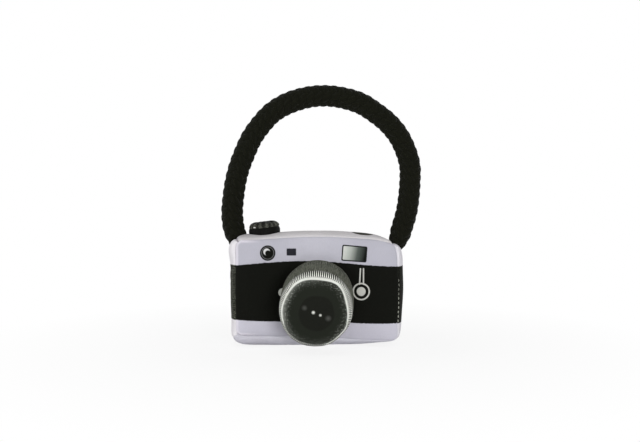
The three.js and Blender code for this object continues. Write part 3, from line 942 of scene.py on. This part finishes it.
def capped(points, quads):
    """A disc's points and faces, with its last ring closed by a fan to the middle."""
    last = np.arange(len(points) - AROUND, len(points))
    fan = np.stack([last, np.roll(last, -1), np.full(AROUND, len(points))], 1)
    return np.vstack([points, points[last].mean(0)]), quads.tolist() + fan.tolist()


# Lens

LENS = Drum(LENS_ROOT, [-0.050995, -0.973035, -0.224951])
LENS_RADIUS, LENS_LENGTH = 28.0, 37.5
LENS_RIM_RADIUS, LENS_RIM_HEIGHT = 26.9, 36.8
LENS_GIRTH = 176.0
LENS_TICKS = 118
KNURL_START, KNURL_END = 27.0, 36.2
FACE_REACH = 27.6  # radius of the cut face
FACE_RING = 26.3
FACE_GLINTS = (  # middle, radius, softness and strength
    ((-1.71, 0.4), 1.1, 1.1, 0.85),
    ((3.67, -1.73), 0.85, 1.0, 0.8),
    ((-8.7, 4.0), 1.5, 2.4, 0.06),
    ((9.8, -4.3), 1.6, 2.6, 0.07),
)
TICK_DARK, TICK_PALE = tone(22, 24, 19), tone(240, 242, 234)


def lens_rim():
    """The seam between barrel and face, pulled out of round by the stuffing."""
    waves = ((2, 0.88, 1.293), (4, 0.32, 0.744), (5, 0.27, 0.876), (6, 0.28, 0.878))
    return LENS_RIM_RADIUS + sum(size * np.cos(count * (TURN - start)) for count, size, start in waves)


def barrel_print():
    """Worn grey cloth with a speckled ring at the root and a knurled ring of pale ticks at the rim."""
    dye = Dye("lens_barrel_cloth", tone(38, 40, 33))
    arc, w, place = dye.cut()
    grain = dye.cloud(place, 0.9, 3, 0.7)
    fine = dye.cloud(place, 1.9, 2, 0.6)
    streak = dye.cloud(dye.stretched(place, 0.9, 0.1), 1.0, 2)
    worn = (grain * 2.6 + streak * 0.9 - 1.25).kept()
    dye.layer(worn, tone(114, 117, 104))
    turn = arc * (2 * math.pi / LENS_GIRTH)
    ticks = (turn * LENS_TICKS).sine()
    root_band = within(abs(w - 6.5) - 4.5, 1.0)
    dark = (ticks * 1.8 + (fine - 0.5) * 3).kept()
    dye.layer(root_band * dark * 0.9, TICK_DARK)
    dye.layer(root_band * ((grain - 0.58) * 12).kept() * 0.8, tone(172, 174, 162))
    knurl = within(KNURL_START - w, 0.8)
    dye.layer(knurl, tone(24, 26, 20))
    tooth = ticks - 0.05 - (KNURL_END - w) / (KNURL_END - KNURL_START) * 0.6 + (fine - 0.5)
    above = turn.sine()
    shown = 1 - (above * -0.6).kept()
    dye.layer(knurl * (tooth * 3).kept() * shown, TICK_PALE)
    edge = within(36.4 - w, 0.4)
    dye.layer(edge * (above * 0.7).kept(), tone(176, 178, 170))
    return pile(dye, place)


def face_print():
    """Dark glass printed on cloth: glints in the middle, a painted sheen near the rim that is strongest at
    the left, flecks near the rim, and a pale ring.
    Ticks show outside the ring at the right, and at the lower left, where it is worn off."""
    dye = Dye("lens_face_cloth", tone(31, 34, 28))
    x, y, place = dye.cut()
    out = length_of(x, y)
    upward, rightward = y / (out + 0.01), x / (out + 0.01)
    inner = within(off_disc(x, y, (0.8, -0.4), 13.9), 1.2)
    dye.layer(inner * 0.85, tone(24, 25, 21))
    speck = dye.cloud(place, 0.95, 2, 0.65)
    # Painted sheen: the pile near the rim is painted paler, most at the left
    rim_sheen = ((out - 18.5) / 8.0).kept() ** 1.6
    left = ((6 - x) / 30).kept() * ((y + 16) / 12).kept()
    dye.layer((rim_sheen * rim_sheen * (0.12 + left * 0.75)).kept(), tone(142, 145, 138))
    flecks = ((speck - 0.6) * 16).kept() * rim_sheen * (0.4 + ((abs(x) - 8) / 12).kept() * 0.6)
    dye.layer(flecks * 0.9, tone(206, 209, 200))
    for middle, radius, soft, strength in FACE_GLINTS:
        glint = within(off_disc(x, y, middle, radius), soft)
        dye.layer(glint * strength, tone(226, 228, 220))
    aside = ((rightward - 0.6) / 0.3).kept() * ((upward + 0.45) / 0.2).kept()
    worn_off = ((rightward * -0.42 - upward * 0.91 - 0.72) / 0.1).kept()
    inner_edge = FACE_RING - upward * 0.5 - aside * 1.2 + (speck - 0.5) * (1.0 - upward) * 1.6
    ring = within(inner_edge - out, 0.45) * (1 - worn_off * 0.85)
    dye.layer(ring, tone(214, 216, 209))
    ticks = (y.angle(x) * LENS_TICKS).sine()
    outer = within(FACE_RING - out, 0.3) * (aside + worn_off * 0.8).kept()
    dye.layer(outer, tone(20, 22, 17))
    dye.layer(outer * ((ticks - 0.05) * 3).kept(), TICK_PALE)
    return pile(dye, place)


def lens_barrel():
    rim = lens_rim()[None]
    heights = np.array([-5, -3, -1.2, 0, 1.2, 2.6, 4.5, 7.5, 11, 15, 19, 23, 27, 30, 32.3, 34, 35.3, 36.2,
                        LENS_RIM_HEIGHT])
    w = heights[:, None]
    t = np.clip(w / LENS_LENGTH, 0, 1)
    plump = LENS_RADIUS - 0.8 * t * (1 - t)
    lean = np.clip((w - 8) / 26, 0, 1) ** 1.5
    crushed = np.clip(np.sin(TURN), 0, 1)[None] ** 2 * np.clip(1 - w / 20, 0, 1)
    radius = plump + lean * (rim - LENS_RIM_RADIUS) * 0.9 - 1.7 * crushed
    shoulder = np.clip((w - 28.5) / 8.3, 0, 1)
    radius = radius + (rim - radius) * (1 - np.sqrt(1 - shoulder ** 2 * 0.97))
    seat = (0.4 - LENS_RADIUS * LENS.out[:, 1]) / LENS.axis[1]
    points, quads, corners = LENS.rings(radius, w + seat[None] * np.clip(1 - w / 30, 0, 1))
    sewn = (heights < 0.1) | (heights > 36.5)
    points = stuffed(points, quads, np.repeat(sewn, AROUND), 12, 0.015, 1.0)
    by_rim = np.repeat(near(heights, LENS_RIM_HEIGHT, 5), AROUND)
    by_root = np.repeat(near(heights, 0, 2.5), AROUND)
    crinkle = lumps(points, 3.2, 11) * 0.35 * by_rim + lumps(points, 15, 12) * 0.5
    points = points + normals_of(points, quads) * (crinkle - 0.4 * by_root)[:, None]
    cut = band_cut(corners, LENS_GIRTH, heights)
    made = smoothed(piece("lens_barrel_cover", points, quads, barrel_print(), None, cut))
    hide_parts("lens_barrel", "lens_stuffing")
    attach(made, "camera_body")
    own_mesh(made)


def lens_face():
    shares = np.array([1, 0.975, 0.945, 0.905, 0.85, 0.77, 0.67, 0.55, 0.42, 0.29, 0.16, 0.05])
    share = shares[:, None]
    bulge = LENS_RIM_HEIGHT + 0.7 * (1 - share ** 14) + 1.4 * (1 - share ** 2.4)
    points, quads, _ = LENS.rings(share * lens_rim()[None], bulge)
    reach = np.repeat(shares, AROUND)
    points = stuffed(points, quads, reach > 0.99, 12, 0.015, 1.0)
    crinkle = (lumps(points, 4.0, 14) * 0.3 * np.clip(1 - (1 - reach) / 0.25, 0, 1)
               + lumps(points, 14, 15) * 0.4 * (1 - reach ** 8))
    points = points + normals_of(points, quads) * crinkle[:, None]
    points, faces = capped(points, quads)
    made = smoothed(piece("lens_face_cover", points, faces, face_print(), disc_cut(shares * FACE_REACH)))
    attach(made, "lens_front")
    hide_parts("lens_face")


lens_barrel()
lens_face()


# Shutter knob

KNOB = Drum([-42.0, -1.0, 90.2], [-0.104528, 0, 0.994522])
KNOB_RADIUS, KNOB_SEAM, KNOB_RISE = 12.0, 5.0, 4.5
KNOB_GATHERS, GATHERS_DRIFT = 17, 1.9
KNOB_TOP_REACH = KNOB_RADIUS + 4.8  # radius of the top before it is gathered
KNOB_TOP_RINGS = 15


def knob_radius(t):
    """Radius of the band at a share of its height."""
    return KNOB_RADIUS + 0.35 + 0.35 * np.sin(math.pi * t) - 0.45 * t ** 6


def knob_print(name, gathered):
    """Black cloth. On the top it is gathered, with painted highlights on the ridges and one painted glint.
    """
    dye = Dye(name, tone(15, 15, 12) if gathered else tone(7, 7, 5))
    x, y, place = dye.cut()
    grain = dye.cloud(place, 0.9, 3, 0.7)
    if gathered:
        turn = y.angle(x)
        # Painted highlights on the ridges of the gathers
        ridge_highlight = (turn * KNOB_GATHERS + (turn * 2).sine() * GATHERS_DRIFT).sine() * 0.35
        ridge_highlight = ridge_highlight + (grain - 0.5) * 3.2
        rim = ((length_of(x, y) - 5) / 6).kept()
        dye.layer((ridge_highlight * 0.9 + 0.32).kept() * rim * 0.9, tone(104, 105, 96))
        # Painted glint
        painted_glint = within(off_line(x, y, (-11.0, -10.6), (-8.6, -12.6), 1.0), 0.6)
        dye.layer(painted_glint * 0.9, tone(225, 225, 222))
    else:
        dye.layer((grain * 1.8 - 0.5).kept(), tone(20, 20, 17))
    return pile(dye, place, 0.55, 0.03)


def knob_band():
    heights = np.array([-5, -3, -1.2, 0, 0.9, 1.8, 2.8, 3.7, 4.4, KNOB_SEAM])
    radius = knob_radius(np.clip(heights / KNOB_SEAM, 0, 1))
    points, quads, corners = KNOB.rings(radius[:, None], heights[:, None])
    points = points + normals_of(points, quads) * (lumps(points, 5, 21) * 0.3)[:, None]
    cut = band_cut(corners, 2 * math.pi * KNOB_RADIUS, heights)
    dye = knob_print("knob_band_cloth", False)
    made = smoothed(piece("knob_band_cover", points, quads, dye, None, cut))
    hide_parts("knob_band", "knob_stuffing")
    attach(made, "camera_body")
    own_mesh(made)


def knob_gathers():
    """Ridges round the top, of uneven width and height."""
    ridges = np.sin(KNOB_GATHERS * TURN + GATHERS_DRIFT * np.sin(2 * TURN))
    return ridges * (0.75 + 0.4 * np.sin(3 * TURN + 1)) + 0.35 * np.sin(29 * TURN + 2.5 * np.sin(TURN))


def knob_top():
    inward = np.linspace(0, 1, KNOB_TOP_RINGS)[:, None]
    lift = inward * math.pi / 2
    share = np.cos(lift) ** 0.62
    share[-1] = 0.05
    points, quads, _ = KNOB.rings(share * knob_radius(1.0), KNOB_SEAM + KNOB_RISE * np.sin(lift) ** 0.85)
    fade = np.sin(inward ** 0.45 * math.pi) ** 1.5
    points = points + normals_of(points, quads) * (0.8 * knob_gathers()[None] * fade).reshape(-1, 1)
    ring = np.repeat(np.arange(KNOB_TOP_RINGS), AROUND)
    points = stuffed(points, quads, ring == 0, 6, 0.02, 0.4)
    crumple = lumps(points, 4.0, 23) * 0.8 * np.minimum(ring / 3, 1)
    points = points + normals_of(points, quads) * crumple[:, None]
    points, faces = capped(points, quads)
    cut = disc_cut(KNOB_TOP_REACH * (1 - inward[:, 0]))
    dye = knob_print("knob_top_cloth", True)
    made = smoothed(piece("knob_top_cover", points, faces, dye, cut))
    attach(made, "knob_cap")
    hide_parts("knob_top")


knob_band()
knob_top()


# Squeaker

def squeaker_plastic(name, colour, roughness):
    dye = Dye(name)
    place = dye.node("TexCoord", {}, {}, 3)
    flow = dye.node("TexNoise", {}, {"Vector": place, "Scale": 90.0, "Detail": 3.0})
    fine = dye.node("TexNoise", {}, {"Vector": place, "Scale": 900.0, "Detail": 2.0})
    return dye.finish(
        base_color=dye.shade(colour, 0.9 + flow * 0.2),
        roughness=roughness + (flow - 0.5) * 0.25,
        normal=dye.bump(flow * 0.6 + fine * 0.4, 0.15, 0.2),
    )


for node, colour, rough in (("squeaker_bellows", tone(233, 233, 228), 0.42),
                            ("squeaker_reed_tube", tone(226, 228, 226), 0.36),
                            ("squeaker_reed", tone(216, 200, 158), 0.34)):
    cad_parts[node].data.materials.clear()
    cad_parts[node].data.materials.append(squeaker_plastic(node + "_plastic", colour, rough))


# Floor and light

FLOOR_HALF = 6
PLAIN_NEAR, PLAIN_START, PLAIN_SPAN = 0.85, 0.1, 0.2  # share of plain white by the toy, and its growth


def floor():
    """White paper that shows plain white to the camera, apart from the toy's shadow near its middle."""
    corners = [(-1, -1, 0), (1, -1, 0), (1, 1, 0), (-1, 1, 0)]
    mesh = mesh_of("floor", corners, [(0, 1, 2, 3)], FLOOR_HALF)
    dye = Dye("floor_paper")
    seen = dye.node("LightPath", {}, {}, 0)
    glossy = Wire(dye, seen.socket.node.outputs[3])
    through_glass = Wire(dye, seen.socket.node.outputs[6])
    white = dye.node("Emission", {}, {"Color": (1, 1, 1, 1), "Strength": 1.0})
    dye.finish(base_color=(0.9, 0.9, 0.9, 1), roughness=0.9)
    paper = Wire(dye, dye.shader.outputs[0])
    place = dye.node("TexCoord", {}, {}, 3)
    away = dye.node("VectorMath", {"operation": "LENGTH"}, {0: place}, 1)
    plain = PLAIN_NEAR + ((away - PLAIN_START) / PLAIN_SPAN).kept() * (1 - PLAIN_NEAR)
    mixed = dye.node("MixShader", {}, {0: (seen | glossy | through_glass) * plain, 1: paper, 2: white})
    dye.feed(dye.tree.nodes["Material Output"].inputs[0], mixed)
    mesh.materials.append(dye.material)
    made = added("floor", mesh)


def studio():
    """Even white light all round, and a plain white background for the camera."""
    world = bpy.data.worlds.new("studio")
    scene.world = world
    world.use_nodes = True
    tree = world.node_tree
    light, white = tree.nodes["Background"], tree.nodes.new("ShaderNodeBackground")
    for background, strength in ((light, 0.55), (white, 1.0)):
        background.inputs[0].default_value = (1, 1, 1, 1)
        background.inputs[1].default_value = strength
    path = tree.nodes.new("ShaderNodeLightPath")
    mix = tree.nodes.new("ShaderNodeMixShader")
    for k, output in enumerate((path.outputs["Is Camera Ray"], light.outputs[0], white.outputs[0])):
        tree.links.new(output, mix.inputs[k])
    tree.links.new(mix.outputs[0], tree.nodes["World Output"].inputs[0])


def lamp(name, place, target, size, power):
    data = bpy.data.lights.new(name, "AREA")
    data.shape = "DISK"
    data.size = size
    data.energy = power
    made = added(name, data)
    made.location = place
    made.rotation_euler = (Vector(target) - Vector(place)).to_track_quat("-Z", "Y").to_euler()


floor()
studio()
lamp("front", (0.1, -1.15, 0.1), (0, 0, 0.04), 0.9, 1.0)
lamp("left", (-0.95, -0.2, 0.25), (0, 0, 0.06), 0.6, 2.6)
lamp("low", (0.2, -0.75, 0.05), (0.03, 0, 0.02), 0.3, 3.2)
lamp("overhead", (0, -0.45, 1.1), (0, -0.15, 0), 0.9, 1.6)
